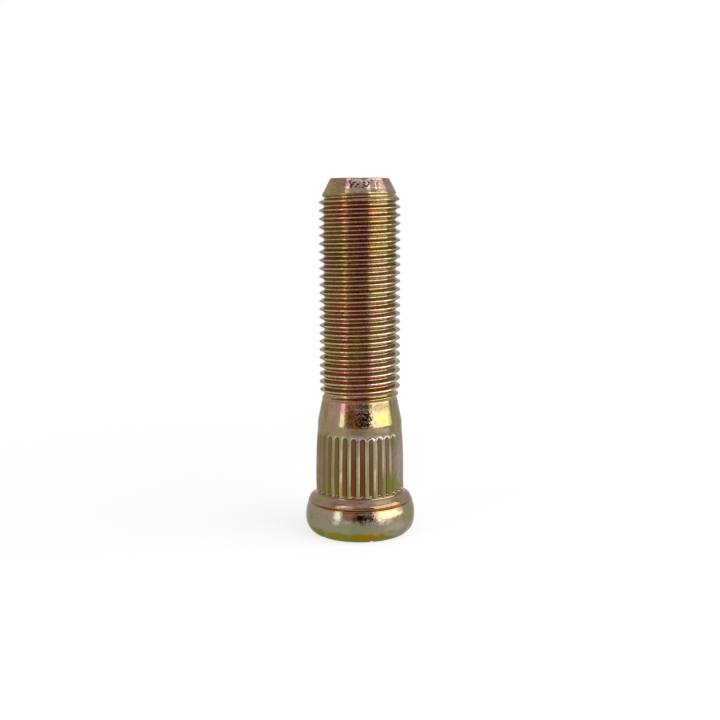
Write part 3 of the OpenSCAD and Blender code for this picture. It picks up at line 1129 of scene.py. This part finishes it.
def plated_steel():
    """Yellow zinc plating: the mesh's own tints, made uneven by a cloudy film, grain and flecks; near
    the front the flecks are a painted speckled reflection.
    """
    material = bpy.data.materials.new("plated_steel")
    nodes = Nodes(material)
    place = nodes.add("ShaderNodeTexCoord").outputs["Object"]
    tint = nodes.add("ShaderNodeAttribute", attribute_name="tint").outputs["Color"]
    fleck = nodes.add("ShaderNodeAttribute", attribute_name="fleck").outputs["Fac"]

    greenish = nodes.mix(1.0, tint, GREENISH_CAST, "MULTIPLY")
    pinkish = nodes.mix(1.0, tint, PINKISH_CAST, "MULTIPLY")
    film = nodes.mix(nodes.ramp(nodes.noise(place, FILM_SCALE), 0.36, 0.64), greenish, pinkish)
    # Dark specks by the fleck share: where it is high, beside the front of the head and shoulder,
    # they are a painted speckled reflection of the dark card
    specks = nodes.ramp(nodes.noise(place, FLECK_SCALE), 0.50, 0.58)
    film = nodes.mix(nodes.maths("MULTIPLY", specks, fleck, clamp=True), film, colour(DARK_REFLECTION))

    grain = nodes.noise(place, GRAIN_SCALE)
    roughness = nodes.ramp(nodes.noise(place, SHEEN_SCALE), 0.3, 0.7, 0.10, 0.18)
    bump = nodes.add("ShaderNodeBump")
    bump.inputs["Strength"].default_value = 1.0
    bump.inputs["Distance"].default_value = GRAIN_H
    grainy = nodes.maths("MULTIPLY", grain, nodes.maths("ADD", fleck, PLAIN_GRAIN))
    nodes.put(grainy, bump.inputs["Height"])

    surface = nodes.add("ShaderNodeBsdfPrincipled")
    surface.inputs["Metallic"].default_value = 1.0
    surface.inputs["Specular Tint"].default_value = GRAZING_TINT
    nodes.put(film, surface.inputs["Base Color"])
    nodes.put(roughness, surface.inputs["Roughness"])
    nodes.put(bump.outputs["Normal"], surface.inputs["Normal"])
    end = nodes.add("ShaderNodeOutputMaterial")
    nodes.put(surface.outputs["BSDF"], end.inputs["Surface"])
    return material


def seen_as_background(nodes):
    """1 for camera, glossy and transmission rays, which see the plain white background."""
    path = nodes.add("ShaderNodeLightPath")
    seen = nodes.maths("MAXIMUM", path.outputs["Is Camera Ray"], path.outputs["Is Glossy Ray"])
    return nodes.maths("MAXIMUM", seen, path.outputs["Is Transmission Ray"])


def make_world():
    world = bpy.data.worlds.new("studio")
    bpy.context.scene.world = world
    nodes = Nodes(world)
    background = nodes.add("ShaderNodeBackground")
    room = nodes.mix(seen_as_background(nodes), colour(ROOM_GREY), colour(WHITE))
    nodes.put(room, background.inputs["Color"])
    end = nodes.add("ShaderNodeOutputWorld")
    nodes.put(background.outputs["Background"], end.inputs["Surface"])


def sheet_mesh(name, width, depth):
    half_w, half_d = width / 2, depth / 2
    corners = [(-half_w, -half_d, 0), (half_w, -half_d, 0), (half_w, half_d, 0), (-half_w, half_d, 0)]
    mesh = bpy.data.meshes.new(name)
    mesh.from_pydata(corners, [], [(0, 1, 2, 3)])
    sheet = bpy.data.objects.new(name, mesh)
    bpy.context.scene.collection.objects.link(sheet)
    return sheet


def make_floor():
    """A plain white floor that keeps a soft shadow near the stud and is plain white beyond it."""
    floor = sheet_mesh("floor", FLOOR_W, FLOOR_W)
    material = bpy.data.materials.new("floor")
    nodes = Nodes(material)
    matt = nodes.add("ShaderNodeBsdfDiffuse")
    matt.inputs["Color"].default_value = colour(FLOOR_GREY)
    glow = nodes.add("ShaderNodeEmission")
    glow.inputs["Color"].default_value = colour(WHITE)
    away = nodes.add("ShaderNodeVectorMath", operation="LENGTH")
    nodes.put(nodes.add("ShaderNodeTexCoord").outputs["Object"], away.inputs[0])
    plain = nodes.ramp(away.outputs["Value"], SHADOW_START_R, SHADOW_END_R, WHITE_OVER_SHADOW, 1.0)
    mixed = nodes.add("ShaderNodeMixShader")
    nodes.put(nodes.maths("MULTIPLY", seen_as_background(nodes), plain), mixed.inputs[0])
    nodes.put(matt.outputs[0], mixed.inputs[1])
    nodes.put(glow.outputs[0], mixed.inputs[2])
    end = nodes.add("ShaderNodeOutputMaterial")
    nodes.put(mixed.outputs[0], end.inputs["Surface"])
    floor.data.materials.append(material)


def round_the_stud(azimuth, distance, height):
    """A place at an azimuth in degrees right of the front, as seen from the camera."""
    turn = math.radians(azimuth)
    return (distance * math.sin(turn), -distance * math.cos(turn), height)


def face_stud(thing, height):
    """Turns a sheet or lamp towards the stud's axis at a height."""
    towards = thing.location.copy()
    towards.z -= height
    thing.rotation_euler = towards.to_track_quat("Z", "Y").to_euler()


def filled_width(distance, start, end):
    """Width that fills the angles from start to end, in degrees, at a distance."""
    return 2 * distance * math.tan(math.radians((end - start) / 2))


def add_softbox(name, start, end, low, high, level):
    """A lamp that fills the azimuths start to end and elevations low to high, in degrees."""
    middle = math.radians((low + high) / 2)
    width = filled_width(SOFTBOX_DISTANCE, start, end)
    tall = filled_width(SOFTBOX_DISTANCE, low, high)
    lamp = bpy.data.lights.new(name, "AREA")
    lamp.shape = "RECTANGLE"
    lamp.size = width
    lamp.size_y = tall
    lamp.energy = level * math.pi * width * tall
    placed = bpy.data.objects.new(name, lamp)
    bpy.context.scene.collection.objects.link(placed)
    stud_middle = OVERALL_LEN / 2 * MM
    placed.location = round_the_stud(
        (start + end) / 2, SOFTBOX_DISTANCE * math.cos(middle),
        stud_middle + SOFTBOX_DISTANCE * math.sin(middle))
    face_stud(placed, stud_middle)
    placed.visible_camera = False


def add_card(name, start, end, light):
    """A card out of the camera's sight, between two azimuths in degrees, that the metal reflects."""
    card = sheet_mesh(name, filled_width(CARD_DISTANCE, start, end), CARD_HIGH - CARD_LOW)
    middle = (CARD_LOW + CARD_HIGH) / 2
    card.location = round_the_stud((start + end) / 2, CARD_DISTANCE, middle)
    face_stud(card, middle)
    material = bpy.data.materials.new(name)
    nodes = Nodes(material)
    glow = nodes.add("ShaderNodeEmission")
    glow.inputs["Color"].default_value = light
    end_node = nodes.add("ShaderNodeOutputMaterial")
    nodes.put(glow.outputs[0], end_node.inputs["Surface"])
    card.data.materials.append(material)
    card.visible_camera = False
    card.visible_diffuse = False
    card.visible_shadow = False


def make_camera():
    """The photograph's view: level with the stud's upper thread and tipped down a little."""
    lens = bpy.data.cameras.new("camera")
    lens.sensor_width = SENSOR_W
    lens.lens = LENS
    lens.clip_start = 0.01
    placed = bpy.data.objects.new("camera", lens)
    placed.location = CAMERA_PLACE
    placed.rotation_euler = (math.radians(90 - CAMERA_TIP), 0, 0)
    bpy.context.scene.collection.objects.link(placed)
    bpy.context.scene.camera = placed


stud = make_stud()
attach(stud, "root")
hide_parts("wheel_stud")
stud.data.materials.append(plated_steel())

make_world()
make_floor()
for softbox in SOFTBOXES:
    add_softbox(*softbox)
for card in CARDS:
    add_card(*card)
make_camera()
bpy.context.scene.view_settings.view_transform = "Standard"
